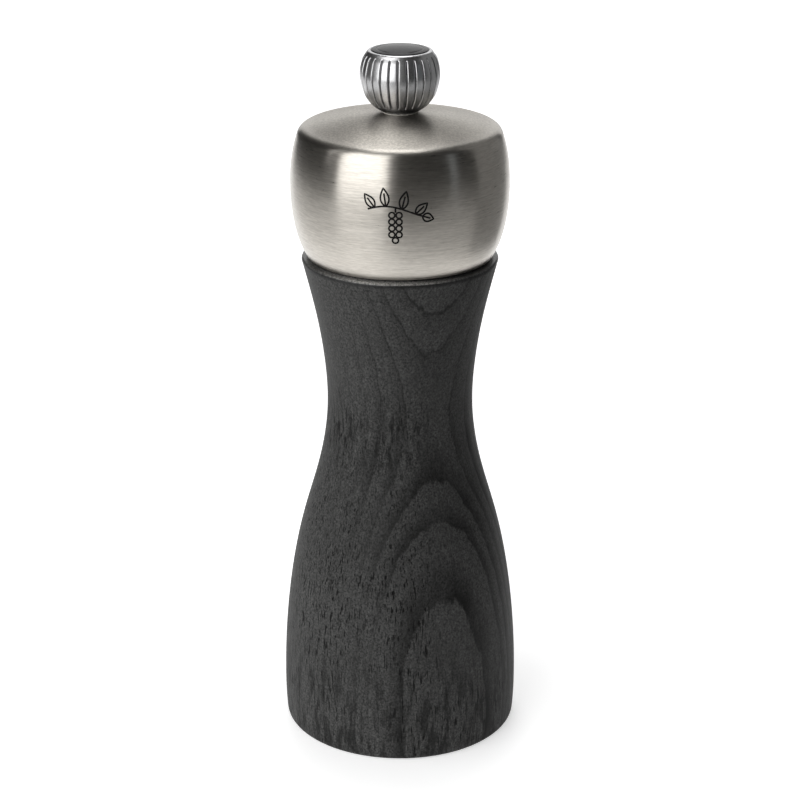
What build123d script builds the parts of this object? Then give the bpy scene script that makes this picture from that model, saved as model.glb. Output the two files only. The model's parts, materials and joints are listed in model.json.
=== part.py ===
"""A hand-turned pepper mill: a waisted wooden body, a brushed steel cap and a fluted knob.

Everything is in millimetres. +Z is up, the mill turns about the Z axis, and z = 0 is the surface it
stands on. Turning the cap turns the square shaft and the inner burr inside the outer burr. Turning
the knob on the shaft's thread draws the shaft and the inner burr up, which closes the gap between
the burrs. The mill is drawn at its coarsest setting, with the inner burr all the way down.
"""

import os
from math import cos, radians, sin

from build123d import *

# The outside.
BODY_HEIGHT = 106.3
FOOT_RADIUS = 25.2
FOOT_ROUND = 1.4
BELLY_RADIUS = 25.5
WAIST_RADIUS = 15.5
WAIST_HEIGHT = 74.0
LIP_RADIUS = 20.6
LIP_ROUND = 0.55
CAP_BOTTOM = 106.85
CAP_MOUTH = 19.5
CAP_RADIUS = 22.75
SHOULDER_RADIUS = 21.2
SHOULDER_HEIGHT = 132.5
ROUND_END_RADIUS = 19.5
ROUND_END_HEIGHT = 134.0
CAP_TOP = 137.05
KNOB_BOTTOM = 137.25
KNOB_FOOT = 3.9
KNOB_RADIUS = 8.22
KNOB_RIM = 149.7
MILL_HEIGHT = 150.35

# Fits, each measured on one side.
PRESS_GAP = 0.05
RUNNING_GAP = 0.08
SLIDING_GAP = 0.1
FACE_GAP = 0.05

# Bores of the wooden body.
RECESS_RADIUS = 19.5
RECESS_DEPTH = 7.9
HOUSING_BORE = 15.0
HOUSING_BORE_TOP = 21.7
HOPPER_RADIUS = 11.5
COLLAR_BORE = 13.9
COLLAR_FLOOR = 91.8
COLLAR_FLANGE = 18.3

# Base plate and its screws.
PLATE_BOTTOM = 5.5
PLATE_THICK = 1.0
PLATE_TOP = PLATE_BOTTOM + PLATE_THICK
PLATE_RADIUS = 19.3
PLATE_HOLE = 10.6
SCREW_CIRCLE = 16.9
SCREW_COUNT = 3
SCREW_SHANK = 1.4
SCREW_LENGTH = 10.0

# Burrs, with the inner one at rest.
STATOR_RADIUS = 12.5
STATOR_TOP = PLATE_TOP + 12.0
STATOR_FINE_TOP = PLATE_TOP + 6.0
ROTOR_BOTTOM = PLATE_TOP + 0.5
ROTOR_FINE_TOP = ROTOR_BOTTOM + 5.0
ROTOR_TOP = ROTOR_BOTTOM + 12.5
BURR_TAPER = 0.2
ROTOR_BASE_RADIUS = 9.3
BURR_GAP = 0.4
TOOTH_DEPTH = 0.45
ROTOR_TEETH = 28
STATOR_TEETH = 36
COARSE_FLUTES = 6
COARSE_STATOR_TEETH = 12

# Housing and bridge.
LEDGE_RADIUS = 11.0
LEDGE_BOTTOM = STATOR_TOP + 1.25
HOUSING_TOP = LEDGE_BOTTOM + 1.8
STRAP_THICK = 1.2
STRAP_WIDTH = 7.0
STRAP_HALF_SPAN = 10.2
BRIDGE_TOP = 32.7

# Shaft, washers and spring.
SHAFT_SIDE = 5.0
SHAFT_CHAMFER = 0.4
SHAFT_CORNER = 3.27
SHAFT_HEAD_RADIUS = 3.8
SHAFT_HEAD_THICK = 1.3
SQUARE_TOP = 131.0
THREAD_RADIUS = 2.5
THREAD_PITCH = 0.8
THREAD_DEPTH = 0.45
SHAFT_TOP = 145.8
WASHER_THICK = 0.8
WASHER_RADIUS = 4.9
SPRING_RADIUS = 4.1
WIRE_RADIUS = 0.45
SPRING_TURNS = 5.5

# Inside the cap.
SHELL_THICK = 0.8
SPIGOT_RADIUS = 12.6
SPIGOT_WALL = 1.8
DRIVE_PLATE_BOTTOM = 94.5
DRIVE_PLATE_TOP = 96.0
DRIVE_PLATE_RADIUS = 12.0
DRIVE_SCREW_CIRCLE = 8.2
DRIVE_SCREW_SHANK = 1.1
DRIVE_SCREW_LENGTH = 7.5
CORE_DISC_TOP = 110.0
CORE_TOWER_RADIUS = 7.2
CORE_BORE = 4.3
CORE_RIBS = 6
BUSH_BOTTOM = 132.8
BUSH_NECK = 3.7
BUSH_BORE = 2.7

# Inside the knob.
KNOB_WASHER_RADIUS = 3.4
FLUTES = 27
FLUTE_WIDTH = 0.4
FLUTE_DEPTH = 0.3
NUT_RADIUS = 3.5
NUT_BOTTOM = 137.8
NUT_TOP = 144.6
NUT_BORE = 2.56
LOCK_RING_TOP = 146.2
MEDALLION_RADIUS = 5.95
MEDALLION_SEAT = 148.0

ON_BASE = (Align.CENTER, Align.CENTER, Align.MIN)


# Helpers.


def rod(radius, low, high):
    """A solid cylinder on the Z axis."""
    return Pos(0, 0, low) * Cylinder(radius, high - low, align=ON_BASE)


def ring(outer, inner, low, high):
    """A flat washer or a tube on the Z axis."""
    return rod(outer, low, high) - rod(inner, low - 1, high + 1)


def square_bar(side, low, high):
    """A square bar on the Z axis."""
    return Pos(0, 0, low) * Box(side, side, high - low, align=ON_BASE)


def turned(*edges):
    """A solid of revolution from a closed outline of edges, drawn as (radius, height)."""
    return revolve(Plane.XZ * make_face(edges), Axis.Z)


def chain(*points):
    """Straight edges through (radius, height) points."""
    return [Line(a, b) for a, b in zip(points, points[1:])]


def around(count, shape):
    """Copies of a shape, evenly spaced about the Z axis."""
    return [Rot(0, 0, 360.0 * i / count) * shape for i in range(count)]


def steps(low, high, count):
    """Evenly spaced fractions and the values between two limits, ends included."""
    return [(i / count, low + (high - low) * i / count) for i in range(count + 1)]


def toothed_cone(teeth, low, high, base, top, twist, rows):
    """Helical teeth between two heights. base and top are (tip radius, root radius)."""
    sections = []
    for share, height in steps(low, high, rows):
        tip, root = (a + (b - a) * share for a, b in zip(base, top))
        points = []
        for i in range(2 * teeth):
            angle = radians(180.0 * i / teeth + twist * share)
            radius = tip if i % 2 == 0 else root
            points.append((radius * cos(angle), radius * sin(angle), height))
        sections.append(make_face(Polyline(*points, close=True)))
    return loft(sections, ruled=True)


def pan_head_screw(shank, length, head_radius, head_height):
    """A cross-slotted screw that points up, with z = 0 under its head."""
    shoulder = head_height * 0.35
    head = turned(
        Line((0, -head_height), (head_radius * 0.6, -head_height)),
        ThreePointArc(
            (head_radius * 0.6, -head_height),
            (head_radius * 0.9, -head_height * 0.8),
            (head_radius, -shoulder),
        ),
        *chain((head_radius, -shoulder), (head_radius, 0), (0, 0), (0, -head_height)),
    )
    tip = 1.3 * shank
    point = Pos(0, 0, length - tip) * Cone(shank, 0.2, tip, align=ON_BASE)
    slot = Pos(0, 0, -head_height) * Box(head_radius * 1.2, head_radius * 0.22, head_height)
    return head + rod(shank, 0, length - tip) + point - slot - Rot(0, 0, 90) * slot


# The body.


def wooden_body():
    lip_start = (LIP_RADIUS, BODY_HEIGHT - LIP_ROUND)
    lip_end = (LIP_RADIUS - LIP_ROUND, BODY_HEIGHT)
    foot = CenterArc((FOOT_RADIUS - FOOT_ROUND, FOOT_ROUND), FOOT_ROUND, -90, 90)
    side = Spline(
        foot @ 1,
        (BELLY_RADIUS, 9.5),
        (24.35, 29.0),
        (20.7, 48.5),
        (17.95, 58.0),
        (WAIST_RADIUS, WAIST_HEIGHT),
        (16.5, 87.0),
        lip_start,
        tangents=[(0.1, 1), (0.26, 1)],
    )
    lip_middle = (LIP_RADIUS - 0.3 * LIP_ROUND, BODY_HEIGHT - 0.3 * LIP_ROUND)
    lip = ThreePointArc(lip_start, lip_middle, lip_end)
    bores = chain(
        lip_end,
        (COLLAR_BORE, BODY_HEIGHT),
        (COLLAR_BORE, COLLAR_FLOOR),
        (HOPPER_RADIUS, COLLAR_FLOOR),
        (HOPPER_RADIUS, HOUSING_BORE_TOP),
        (HOUSING_BORE, HOUSING_BORE_TOP),
        (HOUSING_BORE, RECESS_DEPTH),
        (RECESS_RADIUS, RECESS_DEPTH),
        (RECESS_RADIUS, 0),
        foot @ 0,
    )
    body = turned(foot, side, lip, *bores)
    pilot = Pos(SCREW_CIRCLE, 0, 0) * rod(SCREW_SHANK + PRESS_GAP, 0, PLATE_BOTTOM + SCREW_LENGTH + 1)
    return body - around(SCREW_COUNT, pilot)


def body_collar():
    """The nylon bush that the cap turns in. Its flange lies on the body's top."""
    bore = SPIGOT_RADIUS + RUNNING_GAP
    tube = ring(COLLAR_BORE - PRESS_GAP, bore, COLLAR_FLOOR + 0.4, BODY_HEIGHT)
    return tube + ring(COLLAR_FLANGE, bore, BODY_HEIGHT, CAP_BOTTOM - FACE_GAP)


# The grinder, from the bottom up.


def screw_holes(radius):
    """The base screws' clearance holes, to cut from what they pass through."""
    return around(SCREW_COUNT, Pos(SCREW_CIRCLE, 0, 0) * rod(radius, 0, RECESS_DEPTH + 1))


def base_plate():
    plate = ring(PLATE_RADIUS, PLATE_HOLE, PLATE_BOTTOM, PLATE_TOP)
    rims = plate.edges().filter_by(GeomType.CIRCLE).filter_by_position(Axis.Z, 0, PLATE_BOTTOM)
    return chamfer(rims, 0.3) - screw_holes(SCREW_SHANK + 0.2)


def base_screws():
    screw = pan_head_screw(SCREW_SHANK, SCREW_LENGTH, 2.4, 1.2)
    return Compound(around(SCREW_COUNT, Pos(SCREW_CIRCLE, 0, PLATE_BOTTOM) * screw))


def mechanism_housing():
    """The moulded cup that carries the outer burr and holds the bridge's feet down."""
    inside = STATOR_RADIUS + PRESS_GAP
    outside = HOUSING_BORE - SLIDING_GAP
    outline = chain(
        (inside, PLATE_TOP),
        (PLATE_RADIUS, PLATE_TOP),
        (PLATE_RADIUS, RECESS_DEPTH),
        (outside, RECESS_DEPTH),
        (outside, HOUSING_TOP),
        (LEDGE_RADIUS, HOUSING_TOP),
        (LEDGE_RADIUS, LEDGE_BOTTOM),
        (inside, LEDGE_BOTTOM),
        (inside, PLATE_TOP),
    )
    return turned(*outline) - screw_holes(SCREW_SHANK + 0.2)


def outer_burr():
    """The fixed steel ring, with fine teeth below and coarse ones above."""
    margin = 0.5
    low = PLATE_TOP - margin
    bore_low = ROTOR_BASE_RADIUS + BURR_GAP + BURR_TAPER * (ROTOR_BOTTOM - low)
    bore_high = bore_low - BURR_TAPER * (STATOR_FINE_TOP - low)
    fine = toothed_cone(
        STATOR_TEETH,
        low,
        STATOR_FINE_TOP,
        (bore_low + TOOTH_DEPTH, bore_low),
        (bore_high + TOOTH_DEPTH, bore_high),
        twist=12,
        rows=2,
    )
    coarse = toothed_cone(
        COARSE_STATOR_TEETH,
        STATOR_FINE_TOP - 0.01,
        STATOR_TOP + margin,
        (bore_high + 0.9, bore_high + 0.2),
        (11.2, 9.6),
        twist=-28,
        rows=4,
    )
    return rod(STATOR_RADIUS, PLATE_TOP, STATOR_TOP) - fine - coarse


def inner_burr():
    """The turning cone, with fine helical teeth below and deep spiral flutes above."""
    fine_top = ROTOR_BASE_RADIUS - BURR_TAPER * (ROTOR_FINE_TOP - ROTOR_BOTTOM)
    fine = toothed_cone(
        ROTOR_TEETH,
        ROTOR_BOTTOM,
        ROTOR_FINE_TOP,
        (ROTOR_BASE_RADIUS, ROTOR_BASE_RADIUS - TOOTH_DEPTH),
        (fine_top, fine_top - TOOTH_DEPTH),
        twist=-24,
        rows=4,
    )
    coarse = toothed_cone(
        COARSE_FLUTES,
        ROTOR_FINE_TOP,
        ROTOR_TOP,
        (fine_top - 0.4, 5.6),
        (5.5, 4.6),
        twist=90,
        rows=6,
    )
    bore = square_bar(SHAFT_SIDE + 2 * PRESS_GAP, ROTOR_BOTTOM - 1, ROTOR_TOP + 1)
    return fine + coarse - bore


def burr_washer():
    """Carries the inner burr on the shaft's head."""
    return ring(WASHER_RADIUS, SHAFT_CORNER + SLIDING_GAP, ROTOR_BOTTOM - WASHER_THICK, ROTOR_BOTTOM)


def spring_cup():
    """The lower seat of the spring, on top of the inner burr."""
    seat_top = ROTOR_TOP + WASHER_THICK
    seat = ring(WASHER_RADIUS, SHAFT_CORNER + SLIDING_GAP, ROTOR_TOP, seat_top)
    return seat + ring(WASHER_RADIUS, SPRING_RADIUS + WIRE_RADIUS + 0.05, seat_top, seat_top + 0.6)


def shaft_bridge():
    """The bent steel strap that centres the shaft and takes the spring's push."""
    leg = STRAP_HALF_SPAN - STRAP_THICK
    half = [
        (leg, BRIDGE_TOP - STRAP_THICK),
        (leg, STATOR_TOP),
        (STATOR_RADIUS, STATOR_TOP),
        (STATOR_RADIUS, STATOR_TOP + STRAP_THICK),
        (STRAP_HALF_SPAN, STATOR_TOP + STRAP_THICK),
        (STRAP_HALF_SPAN, BRIDGE_TOP),
    ]
    mirrored = [(-x, z) for x, z in reversed(half)]
    side_view = make_face(Polyline(*half, *mirrored, close=True))
    strap = extrude(Plane.XZ * side_view, STRAP_WIDTH / 2, both=True)
    bends = strap.edges().filter_by(Axis.Y)
    strap = fillet(bends.filter_by_position(Axis.Z, BRIDGE_TOP - 0.01, BRIDGE_TOP + 0.01), 1.5)
    strap &= rod(STATOR_RADIUS - PRESS_GAP, STATOR_TOP, BRIDGE_TOP)
    return strap - rod(SHAFT_CORNER + RUNNING_GAP, STATOR_TOP, BRIDGE_TOP + 1)


def spring_top_washer():
    """Turns with the shaft under the bridge, so that the spring doesn't wind up."""
    top = BRIDGE_TOP - STRAP_THICK - FACE_GAP
    return ring(WASHER_RADIUS, SHAFT_CORNER + SLIDING_GAP, top - WASHER_THICK, top)


def grinding_spring():
    margin = WIRE_RADIUS + FACE_GAP
    low = ROTOR_TOP + WASHER_THICK + margin
    high = BRIDGE_TOP - STRAP_THICK - FACE_GAP - WASHER_THICK - margin
    line = Pos(0, 0, low) * Helix((high - low) / SPRING_TURNS, high - low, SPRING_RADIUS)
    wire = Plane(origin=line @ 0, z_dir=line % 0) * Circle(WIRE_RADIUS)
    return sweep(wire, path=line, is_frenet=True)


# The shaft.


def threaded_rod(low, high):
    """The shaft's thread. Its ridges are drawn as rings."""
    root = THREAD_RADIUS - THREAD_DEPTH
    points = [(0, low), (root, low)]
    for i in range(int((high - low) / THREAD_PITCH) - 1):
        ridge = low + THREAD_PITCH * (i + 0.5)
        points += [
            (root, ridge),
            (THREAD_RADIUS, ridge + 0.4 * THREAD_PITCH),
            (THREAD_RADIUS, ridge + 0.6 * THREAD_PITCH),
            (root, ridge + THREAD_PITCH),
        ]
    points = [point for i, point in enumerate(points) if i == 0 or point != points[i - 1]]
    points += [(root, high - 0.3), (root - 0.3, high), (0, high), (0, low)]
    return turned(*chain(*points))


def drive_shaft():
    head_top = ROTOR_BOTTOM - WASHER_THICK
    bar = square_bar(SHAFT_SIDE, head_top - 0.1, SQUARE_TOP)
    bar = chamfer(bar.edges().filter_by(Axis.Z), SHAFT_CHAMFER)
    bar = chamfer(bar.faces().sort_by(Axis.Z)[-1].edges(), 0.35)
    head = rod(SHAFT_HEAD_RADIUS, head_top - SHAFT_HEAD_THICK, head_top)
    head = fillet(head.edges().filter_by(GeomType.CIRCLE).sort_by(Axis.Z)[0], 0.9)
    return bar + head + threaded_rod(SQUARE_TOP - 0.01, SHAFT_TOP)


# The cap.


def cap_outline(inset):
    """The cap's wall from its mouth to its centre, moved inwards by a thickness."""
    side = Spline(
        (CAP_MOUTH - inset, CAP_BOTTOM),
        (21.1 - inset, 110.4),
        (22.3 - inset, 115.6),
        (CAP_RADIUS - inset, 121.6),
        (22.0 - inset, 129.6),
        (SHOULDER_RADIUS - inset, SHOULDER_HEIGHT - 0.3 * inset),
    )
    round_end = (ROUND_END_RADIUS - 0.23 * inset, ROUND_END_HEIGHT - inset)
    shoulder = TangentArc(side @ 1, round_end, tangent=side % 1)
    dome = Spline(
        round_end,
        (11.0, CAP_TOP - 1.03 - inset),
        (0, CAP_TOP - inset),
        tangents=[shoulder % 1, (-1, 0)],
    )
    return side, shoulder, dome


def cap_solid(inset, low):
    """Everything inside the cap's wall, down to a height."""
    edges = cap_outline(inset)
    mouth = edges[0] @ 0
    ends = chain((0, CAP_TOP - inset), (0, low), (mouth.X, low))
    if low < CAP_BOTTOM:
        ends += chain((mouth.X, low), (mouth.X, mouth.Y))
    return turned(*edges, *ends)


def cap_shell():
    return cap_solid(0, CAP_BOTTOM) - cap_solid(SHELL_THICK, CAP_BOTTOM - 1) - rod(BUSH_NECK + 0.05, 130, 140)


def cap_core():
    """The moulded insert: a spigot that turns in the collar, and a ribbed tower under the crown."""
    spigot = ring(SPIGOT_RADIUS, SPIGOT_RADIUS - SPIGOT_WALL, DRIVE_PLATE_TOP, CAP_BOTTOM + 0.5)
    boss = Pos(DRIVE_SCREW_CIRCLE, 0, 0) * rod(2.5, DRIVE_PLATE_TOP, CAP_BOTTOM + 0.5)
    tower_low = rod(CORE_TOWER_RADIUS - 1, DRIVE_PLATE_TOP + 2, CAP_BOTTOM + 0.5)
    disc = rod(30, CAP_BOTTOM, CORE_DISC_TOP)
    tower = rod(CORE_TOWER_RADIUS, CAP_BOTTOM, CAP_TOP)
    rib = Pos(0, 0, CAP_BOTTOM) * Box(30, 1.4, 22, align=(Align.MIN, Align.CENTER, Align.MIN))
    inside = (disc + tower + around(CORE_RIBS, rib)) & cap_solid(SHELL_THICK + PRESS_GAP, CAP_BOTTOM)
    core = inside + spigot + tower_low + around(2, boss)
    pilot = Pos(DRIVE_SCREW_CIRCLE, 0, 0) * rod(
        DRIVE_SCREW_SHANK + PRESS_GAP, DRIVE_PLATE_TOP - 1, DRIVE_PLATE_TOP + DRIVE_SCREW_LENGTH
    )
    return core - rod(CORE_BORE, 0, MILL_HEIGHT) - around(2, pilot)


def cap_bush():
    """The nylon bush in the crown that keeps the threaded end central."""
    under_crown = CAP_TOP - SHELL_THICK - 0.25
    sleeve = rod(CORE_BORE - PRESS_GAP, BUSH_BOTTOM, under_crown)
    return sleeve + rod(BUSH_NECK, under_crown, CAP_TOP) - rod(BUSH_BORE, 0, MILL_HEIGHT)


def drive_plate():
    """The steel plate under the spigot. Its square hole turns the shaft."""
    plate = rod(DRIVE_PLATE_RADIUS, DRIVE_PLATE_BOTTOM, DRIVE_PLATE_TOP)
    plate = chamfer(plate.edges().filter_by(GeomType.CIRCLE), 0.25)
    hole = Pos(DRIVE_SCREW_CIRCLE, 0, 0) * rod(DRIVE_SCREW_SHANK + 0.15, 0, MILL_HEIGHT)
    square = square_bar(SHAFT_SIDE + 2 * SLIDING_GAP, DRIVE_PLATE_BOTTOM - 1, DRIVE_PLATE_TOP + 1)
    return plate - square - around(2, hole)


def drive_plate_screws():
    screw = pan_head_screw(DRIVE_SCREW_SHANK, DRIVE_SCREW_LENGTH, 2.0, 1.1)
    return Compound(around(2, Pos(DRIVE_SCREW_CIRCLE, 0, DRIVE_PLATE_BOTTOM) * screw))


# The knob.


def knob_washer():
    """A steel washer between the knob's nut and the bush in the cap's crown."""
    return ring(KNOB_WASHER_RADIUS, BUSH_BORE, CAP_TOP + FACE_GAP, NUT_BOTTOM - FACE_GAP)


def knob_solid(inset):
    """The knob's outer form, moved inwards by a depth."""
    side = Spline(
        (KNOB_FOOT - inset, KNOB_BOTTOM + inset),
        (6.3 - inset, 139.1),
        (7.45 - inset, 141.0),
        (KNOB_RADIUS - inset, 144.7),
        (7.65 - inset, 147.9),
        (6.85 - inset, KNOB_RIM - 0.5),
    )
    rim = ThreePointArc(side @ 1, (6.65 - inset, KNOB_RIM - 0.15), (6.3 - inset, KNOB_RIM))
    start = side @ 0
    ends = chain(rim @ 1, (0, KNOB_RIM), (0, start.Y), start)
    return turned(side, rim, *ends)


def knob_shell():
    """The cast knob, with narrow grooves all round it between smooth bands."""
    slab = Box(20, FLUTE_WIDTH, 20, align=(Align.MIN, Align.CENTER, Align.CENTER))
    groove = Pos(0, 0, MEDALLION_SEAT - 4.2) * slab & ring(20, 5.2, KNOB_BOTTOM + 0.7, KNOB_RIM - 0.75)
    grooves = Compound(around(FLUTES, groove)) - knob_solid(FLUTE_DEPTH)
    knob = knob_solid(0) - grooves
    knob -= rod(NUT_RADIUS + PRESS_GAP, KNOB_BOTTOM - 1, MEDALLION_SEAT - 0.8)
    return knob - rod(MEDALLION_RADIUS + PRESS_GAP, MEDALLION_SEAT, MILL_HEIGHT)


def knob_nut():
    """The brass nut pressed into the knob. Its bore clears the thread's crests."""
    return ring(NUT_RADIUS, NUT_BORE, NUT_BOTTOM, NUT_TOP)


def knob_lock_ring():
    """The nylon ring that drags on the thread, so that the setting holds."""
    return ring(NUT_RADIUS, NUT_BORE - 0.01, NUT_TOP + FACE_GAP, LOCK_RING_TOP)


def knob_medallion():
    """The domed cover in the knob's top."""
    edge = (MEDALLION_RADIUS, KNOB_RIM - 0.1)
    dome = TangentArc((0, MILL_HEIGHT), edge, tangent=(1, 0))
    seat = MEDALLION_SEAT + FACE_GAP
    return turned(dome, *chain(edge, (MEDALLION_RADIUS, seat), (0, seat), (0, MILL_HEIGHT)))


PARTS = [
    wooden_body,
    body_collar,
    base_plate,
    base_screws,
    mechanism_housing,
    outer_burr,
    shaft_bridge,
    spring_top_washer,
    grinding_spring,
    drive_shaft,
    inner_burr,
    burr_washer,
    spring_cup,
    cap_shell,
    cap_core,
    cap_bush,
    drive_plate,
    drive_plate_screws,
    knob_washer,
    knob_shell,
    knob_nut,
    knob_lock_ring,
    knob_medallion,
]

os.makedirs("parts", exist_ok=True)
for part in PARTS:
    export_step(part(), f"parts/{part.__name__}.step")
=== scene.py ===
"""The pepper mill's looks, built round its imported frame. Everything is in metres."""

import json
from math import atan2, cos, exp, hypot, pi, radians, sin

import bpy
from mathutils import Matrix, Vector


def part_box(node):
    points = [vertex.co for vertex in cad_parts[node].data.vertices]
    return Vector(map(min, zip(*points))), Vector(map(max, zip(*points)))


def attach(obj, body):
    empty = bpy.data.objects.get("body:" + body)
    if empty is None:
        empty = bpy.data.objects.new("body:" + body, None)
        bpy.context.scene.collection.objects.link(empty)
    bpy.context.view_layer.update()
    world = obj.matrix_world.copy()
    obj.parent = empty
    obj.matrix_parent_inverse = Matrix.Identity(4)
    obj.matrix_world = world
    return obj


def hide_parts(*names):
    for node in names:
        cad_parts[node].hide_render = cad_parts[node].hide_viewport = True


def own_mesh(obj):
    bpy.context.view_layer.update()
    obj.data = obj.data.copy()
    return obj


MM = 0.001

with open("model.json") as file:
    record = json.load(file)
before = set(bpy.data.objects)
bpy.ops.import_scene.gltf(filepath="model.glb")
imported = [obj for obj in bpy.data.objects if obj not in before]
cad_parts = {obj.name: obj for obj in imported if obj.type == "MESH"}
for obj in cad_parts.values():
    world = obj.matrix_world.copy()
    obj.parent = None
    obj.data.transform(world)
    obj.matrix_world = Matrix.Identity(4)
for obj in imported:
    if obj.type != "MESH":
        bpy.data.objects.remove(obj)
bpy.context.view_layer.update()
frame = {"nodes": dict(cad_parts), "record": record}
nodes = frame["nodes"]


# The camera stands half a metre off and looks down at the mill.

LENS = 105.6
SENSOR = 36
CAMERA_BACK, CAMERA_UP = 0.4702, 0.2527
LOOKING_DOWN = 20.85

camera = bpy.data.objects.new("camera", bpy.data.cameras.new("camera"))
bpy.context.scene.collection.objects.link(camera)
bpy.context.scene.camera = camera
camera.data.lens = LENS
camera.data.sensor_width = SENSOR
camera.location = (0, -CAMERA_BACK, CAMERA_UP)
camera.rotation_euler = (radians(90 - LOOKING_DOWN), 0, 0)


# Materials. A Shader is a material with one Principled surface and short ways to add nodes.


class Shader:
    def __init__(self, name, **surface):
        self.material = bpy.data.materials.new(name)
        self.material.use_nodes = True
        self.tree = self.material.node_tree
        self.surface = self.tree.nodes["Principled BSDF"]
        self.set(self.surface, **surface)

    def put(self, socket, value):
        """Links a socket to another node's output, or sets it to a constant."""
        if isinstance(value, bpy.types.NodeSocket):
            self.tree.links.new(value, socket)
        else:
            socket.default_value = value

    def set(self, node, **sockets):
        """Sets or links sockets. A name's underscores stand for spaces."""
        for name, value in sockets.items():
            self.put(node.inputs[name.replace("_", " ")], value)

    def add(self, kind, settings=None, **sockets):
        node = self.tree.nodes.new("ShaderNode" + kind)
        for name, value in (settings or {}).items():
            setattr(node, name, value)
        self.set(node, **sockets)
        return node

    def math(self, operation, *values):
        node = self.add("Math", {"operation": operation})
        for socket, value in zip(node.inputs, values):
            self.put(socket, value)
        return node.outputs[0]

    def product(self, first, *others):
        for other in others:
            first = self.math("MULTIPLY", first, other)
        return first

    def most(self, first, *others):
        """The largest of several values."""
        for other in others:
            first = self.math("MAXIMUM", first, other)
        return first

    def swing(self, noise, size):
        """A noise as an offset of up to half a size either way."""
        return self.product(self.math("SUBTRACT", noise, 0.5), size)

    def coordinates(self, scale=(1, 1, 1), turn=0.0):
        """Coordinates in millimetres, turned about Z and then stretched."""
        found = self.add("TexCoord").outputs["Object"]
        turned = self.add("VectorRotate", {"rotation_type": "Z_AXIS"}, Vector=found, Angle=radians(turn))
        stretched = self.add("VectorMath", {"operation": "MULTIPLY"}, Vector=turned.outputs[0])
        stretched.inputs[1].default_value = [1 / MM * s for s in scale]
        return stretched.outputs[0]

    def attribute(self, name):
        return self.add("Attribute", {"attribute_name": name}).outputs["Fac"]

    def noise(self, where, detail=2.0, roughness=0.5):
        found = self.add("TexNoise", Vector=where, Scale=1.0, Detail=detail, Roughness=roughness)
        return found.outputs["Fac"]

    def ramp(self, value, *stops):
        """A colour ramp through two (position, colour) stops."""
        node = self.add("ValToRGB", Fac=value)
        for element, (position, colour) in zip(node.color_ramp.elements, stops):
            element.position = position
            element.color = (*colour, 1)
        return node.outputs["Color"]

    def between(self, value, low, high, start=0.0, end=1.0):
        """Maps a value from one range to another, clamped."""
        node = self.add("MapRange", Value=value)
        for name, number in zip(("From Min", "From Max", "To Min", "To Max"), (low, high, start, end)):
            node.inputs[name].default_value = number
        return node.outputs[0]

    def mix(self, share, first, second):
        """Blends two colours. A share of 1 gives the second."""
        share_in, first_in, second_in, colour_out = 0, 6, 7, 2
        node = self.add("Mix", {"data_type": "RGBA"})
        for index, value in ((share_in, share), (first_in, first), (second_in, second)):
            self.put(node.inputs[index], (*value, 1) if isinstance(value, tuple) else value)
        return node.outputs[colour_out]

    def bump(self, height, distance, normal=None):
        """Relief of some depth in millimetres. Returns the normal, so that reliefs stack."""
        node = self.add("Bump", Height=height, Distance=distance * MM)
        if normal is not None:
            self.put(node.inputs["Normal"], normal)
        return node.outputs[0]


# Growth rings of the body: depth towards the front in millimetres, how far each fades, how dark.
RINGS = [
    (22.9, 1.9, 1.0),
    (19.3, 1.3, 0.75),
    (17.2, 1.5, 0.8),
    (14.9, 1.2, 0.6),
    (12.2, 1.8, 0.9),
    (9.4, 1.1, 0.6),
    (6.0, 1.6, 0.8),
    (2.9, 1.2, 0.6),
    (-0.6, 1.9, 0.85),
    (-4.6, 1.3, 0.6),
    (-8.1, 1.6, 0.85),
    (-11.4, 1.1, 0.6),
    (-14.6, 1.5, 0.75),
    (-18.1, 1.8, 0.9),
    (-22.0, 1.5, 0.8),
]
# In millimetres: how far behind the mill the rings' centre is, and the heights between which they thin.
PITH = 200.0
WAIST, THINNED = 68.0, 77.0
# How far the front of the grain is turned towards the mill's right, in degrees.
GRAIN_TURN = -24


def ring_lines(s, side, depth, height):
    """Growth rings are cylinders about a far centre. The waisted shape cuts them into arches."""
    wander = s.noise(s.coordinates((0.035, 0.035, 0.012)), detail=3)
    jag = s.noise(s.coordinates((0.55, 0.55, 0.14)), detail=4, roughness=0.65)
    away = s.math("ADD", depth, PITH)
    distance = s.math("SQRT", s.math("ADD", s.product(side, side), s.product(away, away)))
    distance = s.math("ADD", s.math("ADD", distance, s.swing(wander, 3.2)), s.swing(jag, 1.1))
    # The rings are counted as depths towards the front, and each fades outwards from a sharp edge.
    front = s.math("SUBTRACT", PITH, distance)
    broad = thin = 0.0
    for ring, width, weight in RINGS:
        inside = s.math("SUBTRACT", ring, front)
        edge = s.between(inside, -0.1, 0.08)
        fade = s.math("POWER", s.between(inside, 0.0, width, 1.0, 0.0), 0.9)
        broad = s.most(broad, s.product(fade, edge, weight))
        thin = s.most(thin, s.product(s.between(inside, 0.05, 0.3, 1.0, 0.0), edge))
    broad = s.product(broad, s.between(height, WAIST, THINNED, 1.0, 0.45))
    thin = s.product(thin, s.between(height, WAIST, THINNED, 0.0, 0.85))
    patchy = s.between(s.noise(s.coordinates((0.16, 0.16, 0.06)), detail=3), 0.35, 0.6, 0.6, 1.0)
    return s.product(s.most(broad, thin), patchy, s.between(side, -18.0, -9.0, 0.12, 1.0))


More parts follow.
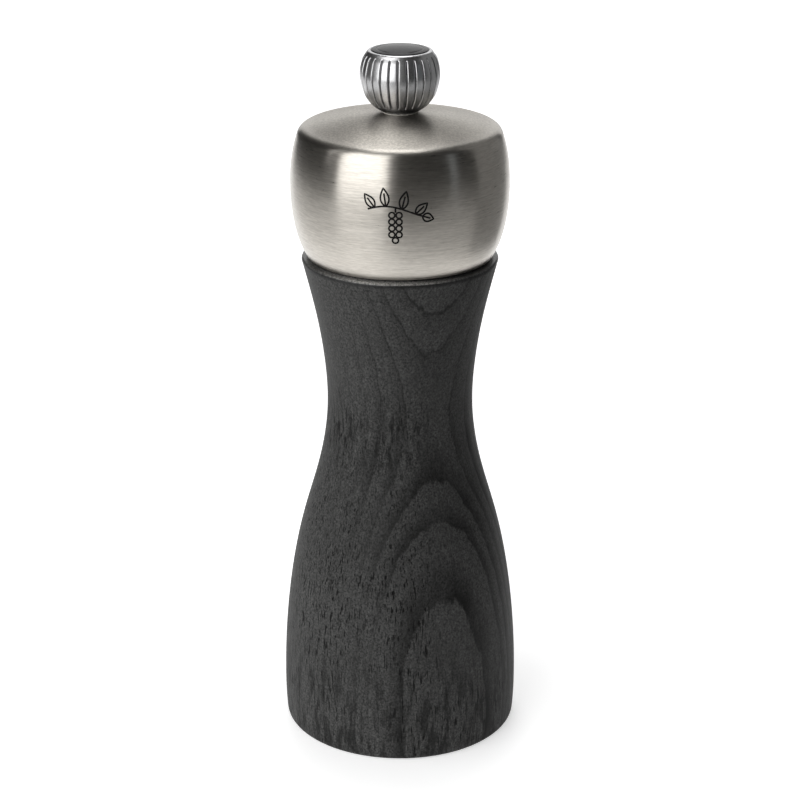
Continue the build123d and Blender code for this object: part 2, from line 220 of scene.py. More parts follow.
def open_pores(s, side, height):
    """Short pores to one side of the arches and near the foot, and darker streaks among them."""
    beside = s.product(s.between(side, 2.5, -4.5), s.between(height, 85.0, 74.0))
    low = s.between(height, 30.0, 12.0)
    waist = s.between(s.math("ABSOLUTE", s.math("SUBTRACT", height, 70.0)), 11.0, 3.0)
    patches = s.between(s.noise(s.coordinates((0.09, 0.09, 0.04))), 0.38, 0.55, 0.4, 1.0)
    pores = s.between(s.noise(s.coordinates((2.6, 2.6, 0.3))), 0.585, 0.64)
    pores = s.product(pores, s.most(beside, low), patches)
    streaks = s.between(s.noise(s.coordinates((0.75, 0.75, 0.14)), detail=4, roughness=0.7), 0.47, 0.6)
    streaks = s.product(streaks, s.most(s.product(low, 0.85), s.product(waist, beside)))
    return s.most(pores, s.product(streaks, 0.8))


def lip_with_painted_highlight(s, stain, speckle):
    """The lip's edge, with a pale painted highlight towards the front, over a dark line."""
    lip = s.attribute("lip")
    under = s.product(s.between(lip, 0.0, 0.3), s.between(lip, 0.65, 0.5))
    colour = s.mix(s.product(under, 0.75), stain, (0.012, 0.012, 0.012))
    # The pale speckled band is a painted highlight, strongest at the front and fading to both sides.
    painted_highlight = s.ramp(speckle, (0.4, (0.13, 0.127, 0.12)), (0.62, (0.42, 0.41, 0.39)))
    across = s.add("SeparateXYZ", Vector=s.coordinates()).outputs["X"]
    highlight_reach = s.product(s.between(across, 13.0, 1.0, 0.12, 1.0), s.between(across, -17.0, -9.0, 0.12, 1.0))
    return s.mix(s.product(s.between(lip, 0.6, 0.75), highlight_reach), colour, painted_highlight)


def stained_wood():
    """Charcoal-stained wood, speckled, with growth rings and open pores."""
    s = Shader("stained_wood", Specular_IOR_Level=0.06, Coat_Roughness=0.25)
    grain = s.add("SeparateXYZ", Vector=s.coordinates(turn=GRAIN_TURN)).outputs
    side, depth, height = grain["X"], grain["Y"], grain["Z"]
    dark = s.most(ring_lines(s, side, depth, height), open_pores(s, side, height))
    speckle = s.noise(s.coordinates((2.5, 2.5, 2.1)), roughness=0.7)
    fibres = s.noise(s.coordinates((1.5, 1.5, 0.22)), detail=3, roughness=0.7)
    cloud = s.noise(s.coordinates((0.06, 0.06, 0.04)))
    colour = s.ramp(speckle, (0.34, (0.021, 0.021, 0.021)), (0.66, (0.100, 0.100, 0.098)))
    colour = s.mix(s.between(fibres, 0.35, 0.65, 0.0, 0.5), colour, (0.036, 0.036, 0.035))
    colour = s.mix(s.between(cloud, 0.35, 0.7, 0.0, 0.3), colour, (0.034, 0.034, 0.033))
    colour = s.mix(s.product(dark, 0.92), colour, (0.002, 0.002, 0.002))
    relief = s.bump(s.product(dark, -1.0), 0.09)
    relief = s.bump(speckle, 0.07, normal=relief)
    s.set(s.surface, Base_Color=lip_with_painted_highlight(s, colour, speckle), Normal=relief)
    s.set(s.surface, Roughness=s.between(speckle, 0.3, 0.7, 0.46, 0.62))
    s.set(s.surface, Coat_Weight=s.product(s.attribute("lip"), 0.9))
    return s.material


def brushed_steel():
    """Stainless steel, brushed round the side and satin on top."""
    s = Shader("brushed_steel", Metallic=1.0, Roughness=0.3, Anisotropic=0.75, Anisotropic_Rotation=0.25)
    tangent = s.add("Tangent", {"direction_type": "RADIAL", "axis": "Z"}).outputs[0]
    found = s.add("TexCoord").outputs["Object"]
    flat = s.add("VectorMath", {"operation": "MULTIPLY"}, Vector=found)
    flat.inputs[1].default_value = (1, 1, 0)
    unit = s.add("VectorMath", {"operation": "NORMALIZE"}, Vector=flat.outputs[0]).outputs[0]
    parts = s.add("SeparateXYZ", Vector=unit).outputs
    along = s.product(s.attribute("along"), 1 / MM)
    strands = []
    for round_scale, along_scale in ((3.5, 3.6), (14.0, 5.0)):
        where = s.add(
            "CombineXYZ",
            X=s.product(parts["X"], round_scale),
            Y=s.product(parts["Y"], round_scale),
            Z=s.product(along, along_scale),
        )
        strands.append(s.noise(where.outputs[0]))
    brushed = s.product(s.math("ADD", *strands), 0.5)
    satin = s.between(s.noise(s.coordinates((2.2, 2.2, 2.2)), detail=3, roughness=0.7), 0.25, 0.75, 0.1, 0.9)
    crown = s.attribute("crown")
    side = s.math("SUBTRACT", 1.0, crown)
    texture = s.math("ADD", s.product(brushed, side), s.product(satin, crown))
    smudge = s.noise(s.coordinates((0.07, 0.07, 0.09)), detail=3)
    colour = s.ramp(texture, (0.36, (0.476, 0.448, 0.405)), (0.64, (0.655, 0.622, 0.567)))
    colour = s.mix(s.between(smudge, 0.35, 0.65, 0.0, 0.18), colour, (0.417, 0.392, 0.356))
    rough = s.math("ADD", s.between(texture, 0.3, 0.7, 0.27, 0.31), s.product(crown, 0.17))
    normal = s.bump(texture, 0.0014)
    s.set(s.surface, Base_Color=colour, Roughness=rough, Normal=normal, Tangent=tangent)
    return s.material


def cast_metal():
    """The knob's plated casting, with an uneven skin, and painted shade in its grooves and on its neck."""
    s = Shader("cast_knob", Metallic=1.0, Roughness=0.3)
    skin = s.noise(s.coordinates((0.9, 0.9, 0.9)), detail=4, roughness=0.6)
    fine = s.noise(s.coordinates((4.0, 4.0, 4.0)), detail=3, roughness=0.6)
    spots = s.add("TexVoronoi", Vector=s.coordinates((1.7, 1.7, 1.3)), Scale=1.0).outputs["Distance"]
    # The groove attribute is painted shade, in the grooves and on the neck.
    groove = s.attribute("groove")
    spotted = s.product(s.between(spots, 0.1, 0.22, 1.0, 0.0), s.between(groove, 0.05, 0.5))
    colour = s.ramp(fine, (0.35, (0.64, 0.64, 0.65)), (0.65, (0.75, 0.75, 0.755)))
    # Painted shade: the grooves and the neck are darkened in the colour.
    colour = s.mix(s.product(groove, 0.85), colour, (0.04, 0.04, 0.044))
    colour = s.mix(s.product(spotted, 0.85), colour, (0.02, 0.02, 0.022))
    rough = s.math("ADD", s.between(fine, 0.3, 0.7, 0.28, 0.35), s.product(spotted, 0.3))
    normal = s.bump(fine, 0.003, normal=s.bump(skin, 0.012))
    normal = s.bump(s.product(spotted, -1.0), 0.06, normal=normal)
    s.set(s.surface, Base_Color=colour, Roughness=rough, Normal=normal)
    return s.material


def gloss_black():
    """The knob's domed cover."""
    s = Shader("black_gloss", Roughness=0.2, IOR=1.25)
    fine = s.noise(s.coordinates((1.4, 1.4, 1.4)), detail=4, roughness=0.6)
    colour = s.ramp(fine, (0.35, (0.006, 0.006, 0.007)), (0.7, (0.014, 0.014, 0.016)))
    s.set(s.surface, Base_Color=colour, Roughness=s.between(fine, 0.3, 0.7, 0.16, 0.24))
    s.set(s.surface, Normal=s.bump(fine, 0.012))
    return s.material


def moulded(name, dark, light, roughness, grain=2.2):
    """Moulded plastic with a fine, even texture."""
    s = Shader(name, Roughness=roughness)
    fine = s.noise(s.coordinates((grain,) * 3), detail=3, roughness=0.65)
    flow = s.noise(s.coordinates((0.12, 0.12, 0.12)))
    colour = s.mix(s.between(flow, 0.35, 0.65, 0.0, 0.4), s.ramp(fine, (0.35, dark), (0.65, light)), light)
    s.set(s.surface, Base_Color=colour, Normal=s.bump(fine, 0.02))
    s.set(s.surface, Roughness=s.between(fine, 0.3, 0.7, roughness - 0.06, roughness + 0.06))
    return s.material


def machined(name, dark, light, roughness, stretch=(1.2, 1.2, 9.0), depth=0.008):
    """Turned, drawn or plated metal, with marks that run round it."""
    s = Shader(name, Metallic=1.0, Roughness=roughness)
    marks = s.noise(s.coordinates(stretch), detail=3, roughness=0.65)
    cloud = s.noise(s.coordinates((0.35, 0.35, 0.35)), detail=3)
    colour = s.mix(s.between(cloud, 0.35, 0.65, 0.0, 0.5), s.ramp(marks, (0.35, dark), (0.65, light)), light)
    s.set(s.surface, Base_Color=colour, Normal=s.bump(marks, depth))
    s.set(s.surface, Roughness=s.between(marks, 0.3, 0.7, roughness - 0.07, roughness + 0.09))
    return s.material


def printed_black():
    """Matt ink."""
    s = Shader("printed_black", Roughness=0.5, Specular_IOR_Level=0.1)
    fine = s.noise(s.coordinates((6.0, 6.0, 6.0)))
    s.set(s.surface, Base_Color=s.ramp(fine, (0.35, (0.004, 0.004, 0.004)), (0.65, (0.012, 0.011, 0.010))))
    return s.material


MATERIALS = {
    "stained_wood": stained_wood(),
    "brushed_steel": brushed_steel(),
    "cast_knob": cast_metal(),
    "black_gloss": gloss_black(),
    "black_nylon": moulded("black_nylon", (0.010, 0.010, 0.011), (0.022, 0.022, 0.023), 0.5),
    "natural_nylon": moulded("natural_nylon", (0.60, 0.58, 0.52), (0.72, 0.70, 0.64), 0.42),
    "plated_steel": machined("plated_steel", (0.42, 0.42, 0.43), (0.60, 0.60, 0.62), 0.3),
    "spring_steel": machined("spring_steel", (0.30, 0.30, 0.31), (0.46, 0.46, 0.47), 0.34, (3, 3, 3)),
    "hardened_steel": machined(
        "hardened_steel", (0.14, 0.135, 0.13), (0.27, 0.26, 0.255), 0.42, (2, 2, 2), 0.015
    ),
    "brass": machined("brass", (0.52, 0.36, 0.13), (0.70, 0.51, 0.22), 0.26),
    "printed_black": printed_black(),
}

SLOTS = {part["node"]: part["material_slot"] for part in frame["record"]["subparts"]}
for name, cad in nodes.items():
    cad.data.materials.clear()
    cad.data.materials.append(MATERIALS[SLOTS[name]])


# Mesh building.


def clamped(value):
    """A value held between 0 and 1."""
    return min(1.0, max(0.0, value))


def finish_piece(piece, material, body, slot, *stands_for):
    """Gives a piece its material and puts it on its body, in place of any CAD nodes."""
    piece.data.materials.append(MATERIALS[material])
    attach(piece, body)
    if stands_for:
        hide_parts(*stands_for)


def piece_from(name, points, faces, sharp_above=40):
    """A smooth-shaded object whose edges are sharp above an angle in degrees."""
    mesh = bpy.data.meshes.new(name)
    mesh.from_pydata(points, [], faces)
    mesh.validate()
    mesh.shade_smooth()
    mesh.set_sharp_from_angle(angle=radians(sharp_above))
    piece = bpy.data.objects.new(name, mesh)
    bpy.context.scene.collection.objects.link(piece)
    return piece


def add_attribute(piece, name, values):
    layer = piece.data.attributes.new(name, "FLOAT", "POINT")
    layer.data.foreach_set("value", values)


def add_rise(piece, name, start, span):
    """A point attribute that rises from 0 to 1 over a span of height."""
    add_attribute(piece, name, [clamped((vertex.co.z - start) / span) for vertex in piece.data.vertices])


def outline(node):
    """The outer (radius, height) points of a turned CAD node, from its foot up, without its screw holes."""
    least_outwards, hole_depth = 0.015, 1.0 * MM
    mesh = nodes[node].data
    widest = {}
    for face in mesh.polygons:
        if face.center.xy.normalized().dot(face.normal.xy) < least_outwards:
            continue
        for index in face.vertices:
            x, y, z = mesh.vertices[index].co
            level = round(z / MM, 3)
            widest[level] = max(widest.get(level, 0.0), hypot(x, y))
    points = [(radius, level * MM) for level, radius in sorted(widest.items())]
    kept = [b for a, b, c in zip(points, points[1:], points[2:]) if b[0] > min(a[0], c[0]) - hole_depth]
    return thin_out([points[0], *kept, points[-1]])


def thin_out(points, gap=0.25 * MM):
    """Drops points that crowd their neighbour."""
    kept = [points[0]]
    for point in points[1:-1]:
        if hypot(point[0] - kept[-1][0], point[1] - kept[-1][1]) > gap:
            kept.append(point)
    return [*kept, points[-1]]


def smooth_curve(points, step):
    """A Catmull-Rom curve through points, resampled at about a step."""
    padded = [points[0], *points, points[-1]]
    curve = []
    for a, b, c, d in zip(padded, padded[1:], padded[2:], padded[3:]):
        span = hypot(c[0] - b[0], c[1] - b[1])
        count = max(1, round(span / step))
        before, after = hypot(b[0] - a[0], b[1] - a[1]), hypot(d[0] - c[0], d[1] - c[1])
        start = [(c[k] - a[k]) / ((before + span) or 1) * span for k in (0, 1)]
        end = [(d[k] - b[k]) / ((span + after) or 1) * span for k in (0, 1)]
        for i in range(count):
            t = i / count
            shares = (2 * t**3 - 3 * t**2 + 1, t**3 - 2 * t**2 + t, 3 * t**2 - 2 * t**3, t**3 - t**2)
            parts = (b, start, c, end)
            curve.append(tuple(sum(share * part[k] for share, part in zip(shares, parts)) for k in (0, 1)))
    return [*curve, points[-1]]


def lathe(name, loop, angles, shift=None, closed=True, sharp_above=40):
    """Turns a loop of (radius, height) points round Z.

    A closed loop joins its ends. An open one starts and ends on the axis. shift(angle, radius, height)
    gives a radius in place of the loop's own.
    """
    points, faces, along = [], [], []
    travelled = [0.0]
    for a, b in zip(loop, loop[1:]):
        travelled.append(travelled[-1] + hypot(b[0] - a[0], b[1] - a[1]))
    rows = []
    for (radius, height), distance in zip(loop, travelled):
        if radius == 0:
            rows.append([len(points)] * len(angles))
            points.append((0, 0, height))
            along.append(distance)
            continue
        rows.append(list(range(len(points), len(points) + len(angles))))
        for angle in angles:
            r = shift(angle, radius, height) if shift else radius
            points.append((r * cos(angle), r * sin(angle), height))
            along.append(distance)
    pairs = list(zip(rows, rows[1:]))
    if closed:
        pairs.append((rows[-1], rows[0]))
    for low, high in pairs:
        for i in range(len(angles)):
            j = (i + 1) % len(angles)
            corners = [low[i], low[j], high[j], high[i]]
            corners = [c for k, c in enumerate(corners) if c != corners[k - 1]]
            if len(corners) > 2:
                faces.append(corners)
    piece = piece_from(name, points, faces, sharp_above)
    add_attribute(piece, "along", along)
    return piece


def even_angles(count):
    return [2 * pi * i / count for i in range(count)]


def box_radius(node):
    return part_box(node)[1].x


# The wooden body.


def wooden_body():
    """The turned body, hollow for the pepper, with room for the collar, the grinder and the base plate."""
    low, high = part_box("wooden_body")
    outside = smooth_curve(outline("wooden_body"), 0.8 * MM)
    collar_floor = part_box("body_collar")[0].z - 0.4 * MM
    collar = 13.9 * MM
    hopper = 11.5 * MM
    housing_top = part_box("mechanism_housing")[1].z + 0.2 * MM
    housing = 15.0 * MM
    recess_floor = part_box("base_plate")[1].z + 1.4 * MM
    recess = box_radius("base_plate") + 0.2 * MM
    eased = 0.3 * MM
    inside = [
        (collar, high.z),
        (collar, collar_floor),
        (hopper, collar_floor),
        (hopper, housing_top),
        (housing, housing_top),
        (housing, recess_floor),
        (recess, recess_floor),
        (recess, low.z + eased),
        (recess + eased, low.z),
    ]
    piece = lathe("turned_body", [*outside, *inside], even_angles(256))
    lip = 0.9 * MM
    add_rise(piece, "lip", high.z - lip, lip)
    finish_piece(piece, "stained_wood", "mill_body", "stained_wood", "wooden_body")


# The cap and its mark.


def cap_curve():
    """The cap's outer curve, from its mouth to the hole in its crown."""
    return smooth_curve(outline("cap_shell"), 0.4 * MM)


def cap_shell():
    """The steel cap: its outer curve, and the same curve set in by the wall's thickness."""
    outside = cap_curve()
    thickness = 0.8 * MM
    inside = []
    for i in range(len(outside) - 1, -1, -1):
        a, b = outside[max(0, i - 1)], outside[min(len(outside) - 1, i + 1)]
        length = hypot(b[0] - a[0], b[1] - a[1])
        inwards = (-(b[1] - a[1]) / length, (b[0] - a[0]) / length)
        radius, height = outside[i]
        inside.append((radius + inwards[0] * thickness, height + inwards[1] * thickness))
    inside[0] = (outside[-1][0], outside[-1][1] - thickness)
    inside[-1] = (outside[0][0] - thickness, outside[0][1])
    piece = lathe("brushed_cap", [*outside, *inside], even_angles(288), sharp_above=50)
    shoulder, fade = 3.7 * MM, 1.2 * MM
    add_rise(piece, "crown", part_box("cap_shell")[1].z - shoulder, fade)
    finish_piece(piece, "brushed_steel", "cap", "brushed_steel", "cap_shell")


def radius_at(curve, height):
    """A rising curve's radius at a height."""
    for a, b in zip(curve, curve[1:]):
        if a[1] <= height <= b[1]:
            share = (height - a[1]) / ((b[1] - a[1]) or 1)
            return a[0] + (b[0] - a[0]) * share
    return curve[-1][0]


def leaf(start, direction, length, width):
    """A leaf's closed outline, and its rib."""
    steps, rib_steps, rib_step = 12, 7, 0.12
    dx, dy = cos(radians(direction)), sin(radians(direction))
    edge = []
    for side in (1, -1):
        for i in range(steps):
            t = i / steps if side > 0 else 1 - i / steps
            bulge = side * width * sin(pi * t**0.8)
            edge.append((start[0] + dx * length * t - dy * bulge, start[1] + dy * length * t + dx * bulge))
    reach = [length * rib_step * i for i in range(rib_steps)]
    return [*edge, edge[0]], [(start[0] + dx * r, start[1] + dy * r) for r in reach]


def berry(across, up):
    """A small ring."""
    radius, sides = 0.6, 20
    turns = [2 * pi * i / sides for i in range(sides + 1)]
    return [(across + radius * cos(a), up + radius * sin(a)) for a in turns]


# Leaves of the sprig: place along the stem in 24ths, direction in degrees, length in millimetres.
LEAVES = ((3, 128, 3.3), (8, 98, 3.7), (15, 76, 3.7), (21, 42, 3.2), (24, -18, 2.4))
LEAF_HALF_WIDTH = 0.85


def sprig_lines():
    """A peppercorn sprig as lines of (across, up) points, in millimetres about its centre."""
    steps = 24
    stem = []
    for i in range(steps + 1):
        t = i / steps
        stem.append((-5.6 + 11.0 * t, 1.3 * sin(pi * (0.15 + 1.05 * t)) + 0.9))
    lines = [stem]
    for at, direction, length in LEAVES:
        lines += leaf(stem[at], direction, length, LEAF_HALF_WIDTH)
    lines.append([(0.0, 1.98 - 0.26 * i) for i in range(5)])
    for row in range(4):
        lines += [berry(side * 0.72, 0.4 - 1.36 * row) for side in (-1, 1)]
    lines.append(berry(0.0, -4.9))
    return lines


def cap_mark():
    """The mark's lines as flat ribbons that lie on the cap's front."""
    curve = cap_curve()
    half_line, lift, to_left, below_middle = 0.18 * MM, 0.012 * MM, 0.9 * MM, 0.9 * MM
    low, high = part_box("cap_shell")
    centre = (low.z + high.z) / 2 - below_middle
    points, faces = [], []
    for line in sprig_lines():
        line = [(x * MM, y * MM) for x, y in line]
        first = len(points)
        for i, (x, y) in enumerate(line):
            a, b = line[max(0, i - 1)], line[min(len(line) - 1, i + 1)]
            if line[0] == line[-1] and i in (0, len(line) - 1):
                a, b = line[-2], line[1]
            length = hypot(b[0] - a[0], b[1] - a[1])
            across = (-(b[1] - a[1]) / length * half_line, (b[0] - a[0]) / length * half_line)
            for side in (-1, 1):
                px, height = x + side * across[0], centre + y + side * across[1]
                radius = radius_at(curve, height) + lift
                angle = -pi / 2 + (px - to_left) / radius
                points.append((radius * cos(angle), radius * sin(angle), height))
        for i in range(len(line) - 1):
            k = first + 2 * i
            faces.append((k, k + 2, k + 3, k + 1))
    piece = piece_from("cap_sprig_print", points, faces)
    finish_piece(piece, "printed_black", "cap", "black_gloss")


# The knob.


FLUTES = 27
GROOVE_DEPTH = 0.36 * MM
GROOVE_HALF_WIDTH = 0.15 * MM
GROOVE_FOOT, FOOT_FADE = 0.9 * MM, 1.2 * MM
GROOVE_TOP, TOP_FADE = 0.75 * MM, 0.35 * MM
# How far up the neck the painted contact shadow reaches.
NECK_SHADE = 2.2 * MM
FIT = 0.05 * MM
# The knob's outline from its neck to its rim, as (radius, height) in millimetres.
KNOB_OUTLINE = (
    (3.9, 0.0),
    (5.25, 0.8),
    (6.3, 1.85),
    (7.45, 3.75),
    (8.22, 7.45),
    (7.65, 10.65),
    (6.85, 11.95),
    (6.65, 12.3),
    (6.3, 12.45),
)


def groove_at(angle, radius, height, low, high):
    """How deep in a groove a place on the knob is, from 0 to 1."""
    pitch = 2 * pi / FLUTES
    off = (angle / pitch - round(angle / pitch)) * pitch * radius
    start, end = low + GROOVE_FOOT, high - GROOVE_TOP
    fade = clamped((height - start) / FOOT_FADE) * clamped((end - height) / TOP_FADE)
    return fade * exp(-((off / GROOVE_HALF_WIDTH) ** 2))


def fluted_angles():
    """Angles round the knob, crowded together at each groove."""
    steps, even_share, crowding = 17, 0.35, 1.2
    angles = []
    for flute in range(FLUTES):
        for k in range(steps):
            t = 2 * k / steps - 1
            spread = abs(t) * (even_share + (1 - even_share) * abs(t) ** crowding)
            side = 1 if t >= 0 else -1
            angles.append((flute + 0.5 + 0.5 * (1 - spread) * side) * 2 * pi / FLUTES)
    return sorted(a % (2 * pi) for a in angles)


def fluted_knob():
    """The cast knob, with its cover's seat above and its nut's bore below."""
    low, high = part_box("knob_shell")
    outside = smooth_curve([(radius * MM, low.z + up * MM) for radius, up in KNOB_OUTLINE], 0.13 * MM)
    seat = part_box("knob_medallion")[0].z - FIT
    cover = box_radius("knob_medallion") + FIT
    nut = box_radius("knob_nut") + FIT
    cavity = seat - 0.8 * MM
    inside = [(cover, high.z), (cover, seat), (0, seat), (0, cavity), (nut, cavity), (nut, low.z)]

    def fluted(angle, radius, height):
        if radius < cover or height > high.z - FIT:
            return radius
        return radius - GROOVE_DEPTH * groove_at(angle, radius, height, low.z, high.z)

    def painted_shade(x, y, z):
        """Painted shade in the grooves, and a painted contact shadow on the neck where the knob meets the
        cap.
        """
        radius = hypot(x, y)
        if radius < nut * 1.1:
            return 0.0
        neck = 1.0 - ((z - low.z) / NECK_SHADE) ** 2
        return max(groove_at(atan2(y, x), radius, z, low.z, high.z), neck)

    piece = lathe("fluted_knob", [*outside, *inside], fluted_angles(), fluted, sharp_above=60)
    # The groove attribute holds the painted shade of the grooves and the neck.
    add_attribute(piece, "groove", [painted_shade(*vertex.co) for vertex in piece.data.vertices])
    finish_piece(piece, "cast_knob", "knob", "cast_knob", "knob_shell")


def medallion():
    """The knob's domed cover, with a plain ring sunk in it."""
    low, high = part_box("knob_medallion")
    radius = high.x
    dome, rim, steps = 0.55 * MM, 0.18 * MM, 70
    ring_radius, ring_half, ring_depth = 4.7 * MM, 0.16 * MM, 0.07 * MM
    edge = high.z - dome
    ball = (radius**2 + dome**2) / (2 * dome)
    loop = [(0, low.z), (radius, low.z), (radius, edge - rim)]
    for i in range(steps + 1):
        r = (radius - rim) * (1 - i / steps)
        z = high.z - (ball - (ball**2 - r**2) ** 0.5)
        z -= ring_depth * exp(-(((r - ring_radius) / ring_half) ** 2))
        loop.append((r, z))
    piece = lathe("domed_cover", loop, even_angles(128), closed=False)
    finish_piece(piece, "black_gloss", "knob", "black_gloss", "knob_medallion")


# The shaft, with a real helical thread, and the spring.


THREAD_FOOT = 131.0 * MM
THREAD_PITCH = 0.8 * MM
THREAD_CREST, THREAD_ROOT = 2.5 * MM, 2.05 * MM
BAR_HALF, BAR_CORNER = 2.5 * MM, 0.4 * MM
HEAD_TOP = 6.2 * MM


def threaded_end():
    """The M5 thread, as a helical surface between the square bar's top and the shaft's end."""
    low, high = THREAD_FOOT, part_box("drive_shaft")[1].z
    columns, per_turn = 48, 12
    taper, end_share = 0.9 * MM, 0.75
    rows = int((high - low) / THREAD_PITCH * per_turn)
    side = [(THREAD_CREST, low + (high - low) * i / rows) for i in range(rows + 1)]

    def threaded(angle, radius, height):
        phase = ((height - low) / THREAD_PITCH - angle / (2 * pi)) % 1.0
        wave = clamped(1.35 - 3.2 * abs(phase - 0.5))
        end = min(1.0, (high - height) / taper + end_share)
        return (THREAD_ROOT + (THREAD_CREST - THREAD_ROOT) * wave) * end

    return lathe("shaft_thread", [(0, low), *side, (0, high)], even_angles(columns), threaded, closed=False)


def square_bar():
    """The square bar, with eased corners."""
    ring = []
    for sx, sy in ((1, 1), (-1, 1), (-1, -1), (1, -1)):
        pair = [(sx * BAR_HALF, sy * (BAR_HALF - BAR_CORNER)), (sx * (BAR_HALF - BAR_CORNER), sy * BAR_HALF)]
        ring += pair if sx * sy > 0 else pair[::-1]
    inside_head, shoulder, narrowed = 0.2 * MM, 0.35 * MM, 0.86
    levels = [(HEAD_TOP - inside_head, 1.0), (THREAD_FOOT - shoulder, 1.0), (THREAD_FOOT, narrowed)]
    points, faces = [], []
    for z, scale in levels:
        points += [(x * scale, y * scale, z) for x, y in ring]
    n = len(ring)
    for row in range(len(levels) - 1):
        for i in range(n):
            j = (i + 1) % n
            faces.append((row * n + i, row * n + j, (row + 1) * n + j, (row + 1) * n + i))
    faces += [tuple(range(n))[::-1], tuple(range((len(levels) - 1) * n, len(levels) * n))]
    bar = piece_from("square_bar", points, faces, 25)
    add_attribute(bar, "along", [p[2] for p in points])
    return bar


def shaft_head():
    """The forged head under the bar, round, with a well-rounded lower edge."""
    low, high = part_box("drive_shaft")
    radius = high.x
    edge, eased, steps = 0.9 * MM, 0.15 * MM, 8
    loop = [(0, low.z), (radius - edge, low.z)]
    for i in range(1, steps + 1):
        a = pi / 2 * i / steps
        loop.append((radius - edge + edge * sin(a), low.z + edge - edge * cos(a)))
    loop += [(radius, HEAD_TOP - eased), (radius - eased, HEAD_TOP), (0, HEAD_TOP)]
    return lathe("shaft_head", loop, even_angles(96), closed=False)


def drive_shaft():
    """The whole shaft in one piece."""
    bar = square_bar()
    others = shaft_head(), threaded_end()
    bpy.context.view_layer.update()
    join(bar, *others)
    bar.name = "square_shaft"
    finish_piece(bar, "plated_steel", "shaft", "plated_steel", "drive_shaft")


def join(first, *others):
    """Joins meshes into the first."""
    with bpy.context.temp_override(active_object=first, selected_editable_objects=[first, *others]):
        bpy.ops.object.join()


def tube_along(name, path, radius, sides=16):
    """A round wire along a path, with rounded ends."""
    points, faces = [], []
    up = Vector((0, 0, 1))
    count, rounded = len(path), 0.55
    for i, centre in enumerate(path):
        ahead = path[min(count - 1, i + 1)] - path[max(0, i - 1)]
        side = ahead.cross(up).normalized()
        over = side.cross(ahead).normalized()
        shrink = 1.0 if 0 < i < count - 1 else rounded
        for k in range(sides):
            a = 2 * pi * k / sides
            points.append(centre + (side * cos(a) + over * sin(a)) * radius * shrink)
    for i in range(count - 1):
        for k in range(sides):
            j = (k + 1) % sides
            faces.append((i * sides + k, (i + 1) * sides + k, (i + 1) * sides + j, i * sides + j))
    faces += [tuple(range(sides)), tuple(range((count - 1) * sides, count * sides))[::-1]]
    return piece_from(name, points, faces, 50)


def grinding_spring():
    """A compression spring with closed ends."""
    low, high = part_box("grinding_spring")
    wire = 0.45 * MM
    radius = high.x - wire
    turns, per_turn = 6.5, 40
    total = int(turns * per_turn)
    closed_end, end_rise = 0.14, 0.06
    path = []
    for i in range(total + 1):
        t = i / total
        if t < closed_end:
            rise = end_rise * (t / closed_end)
        elif t > 1 - closed_end:
            rise = 1 - end_rise * ((1 - t) / closed_end)
        else:
            rise = end_rise + (1 - 2 * end_rise) * (t - closed_end) / (1 - 2 * closed_end)
        z = low.z + wire + (high.z - low.z - 2 * wire) * rise
        a = 2 * pi * turns * t
        path.append(Vector((radius * cos(a), radius * sin(a), z)))
    piece = tube_along("coil_spring", path, wire)
    finish_piece(piece, "spring_steel", "drive", "spring_steel", "grinding_spring")
    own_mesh(piece)


wooden_body()
cap_shell()
cap_mark()
fluted_knob()
medallion()
drive_shaft()
grinding_spring()


# The studio: a pale table, a softbox, a strip and a fill to the left, a glint to the right, a wide
# ceiling panel, a glow from behind, and a dark card to the right.


def floor():
    """A pale table that glows a little, most behind the mill and to its left, and least at its foot."""
    left, right, front, back = -0.5, 0.5, -0.32, 0.95
    mesh = bpy.data.meshes.new("floor")
    corners = [(left, front, 0), (right, front, 0), (right, back, 0), (left, back, 0)]
    mesh.from_pydata(corners, [], [(0, 1, 2, 3)])
    piece = bpy.data.objects.new("floor", mesh)
    bpy.context.scene.collection.objects.link(piece)
    s = Shader("floor", Roughness=0.85, Specular_IOR_Level=0.1)
    found = s.add("TexCoord").outputs["Object"]
    place = s.add("SeparateXYZ", Vector=found).outputs
    slant = s.math("SUBTRACT", place["Y"], s.product(place["X"], 0.65))
    across = s.math("ABSOLUTE", s.math("ADD", place["X"], 0.03))
    outwards = s.math("SUBTRACT", across, s.product(place["Y"], 0.2))
    behind = s.between(slant, -0.22, -0.07, 0.0, 0.75)
    near = s.between(s.between(outwards, 0.20, 0.13), 0.0, 1.0, 0.3, 1.0)
    reach = s.add("VectorMath", {"operation": "LENGTH"}, Vector=found).outputs["Value"]
    shaded = s.between(reach, 0.024, 0.05, 0.78, 1.0)
    s.set(s.surface, Base_Color=(0.82, 0.82, 0.82, 1), Emission_Color=(1, 1, 1, 1))
    s.set(s.surface, Emission_Strength=s.product(behind, near, shaded))
    mesh.materials.append(s.material)


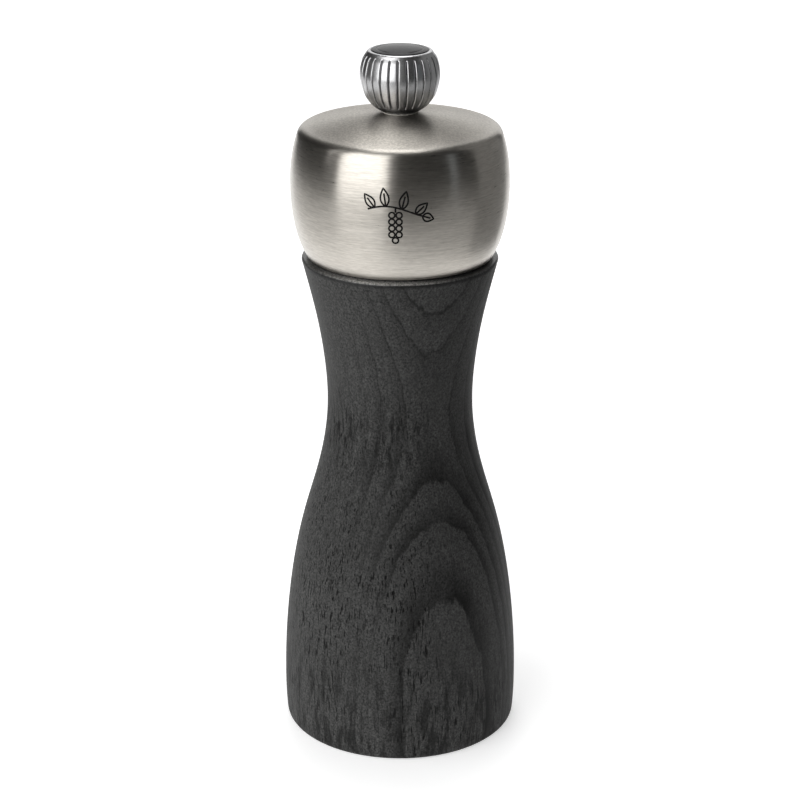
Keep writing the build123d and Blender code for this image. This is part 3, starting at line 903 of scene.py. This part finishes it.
def panel(name, azimuth, distance, height, width, tall, radiance, colour=(1, 1, 1)):
    """A soft panel that faces the mill. Azimuth is seen from the mill, 0 towards the camera."""
    light = bpy.data.lights.new(name, "AREA")
    light.shape = "RECTANGLE"
    light.size, light.size_y = width, tall
    light.energy = radiance * pi * width * tall
    light.color = colour
    lamp = bpy.data.objects.new(name, light)
    a = radians(azimuth)
    lamp.location = (sin(a) * distance, -cos(a) * distance, height)
    target = Vector((0, 0, height))
    lamp.rotation_euler = (target - lamp.location).to_track_quat("-Z", "Y").to_euler()
    lamp.visible_camera = False
    bpy.context.scene.collection.objects.link(lamp)
    return lamp


def flag():
    """A dark card to the mill's right, which keeps its steel from reflecting the bright table."""
    x, near, far, tall = 0.15, -0.02, 0.17, 0.35
    mesh = bpy.data.meshes.new("flag")
    mesh.from_pydata([(x, near, 0), (x, far, 0), (x, far, tall), (x, near, tall)], [], [(0, 1, 2, 3)])
    card = bpy.data.objects.new("flag", mesh)
    bpy.context.scene.collection.objects.link(card)
    mesh.materials.append(Shader("flag", Base_Color=(0.2, 0.2, 0.2, 1), Roughness=0.9).material)
    card.visible_camera = False


floor()
flag()
panel("softbox", azimuth=-40, distance=0.9, height=0.72, width=0.92, tall=1.5, radiance=2.15)
panel("strip", azimuth=-82, distance=0.9, height=0.75, width=0.05, tall=0.9, radiance=2.0)
fill = panel("fill", azimuth=-85, distance=0.9, height=0.6, width=0.8, tall=1.2, radiance=1.0)
fill.visible_glossy = False
cool = (0.85, 0.93, 1.0)
panel("glint", azimuth=58, distance=0.9, height=0.35, width=0.1, tall=0.6, radiance=0.3, colour=cool)
panel("glow", azimuth=176, distance=1.5, height=0.7, width=1.3, tall=1.4, radiance=0.85)
ceiling = panel("ceiling", azimuth=-178, distance=0.78, height=1.35, width=0.5, tall=1.34, radiance=3.3)
facing_down = (0, 0, 0)
ceiling.rotation_euler = facing_down

# The camera sees a white background, which lights the mill only a little.
ambient = 0.03
world = bpy.data.worlds.new("studio")
world.use_nodes = True
sky = world.node_tree.nodes["Background"]
sky.inputs["Color"].default_value = (1, 1, 1, 1)
seen = world.node_tree.nodes.new("ShaderNodeLightPath").outputs["Is Camera Ray"]
strength = world.node_tree.nodes.new("ShaderNodeMapRange")
strength.inputs["To Min"].default_value = ambient
world.node_tree.links.new(seen, strength.inputs["Value"])
world.node_tree.links.new(strength.outputs[0], sky.inputs["Strength"])
bpy.context.scene.world = world

bpy.context.scene.view_settings.view_transform = "Standard"
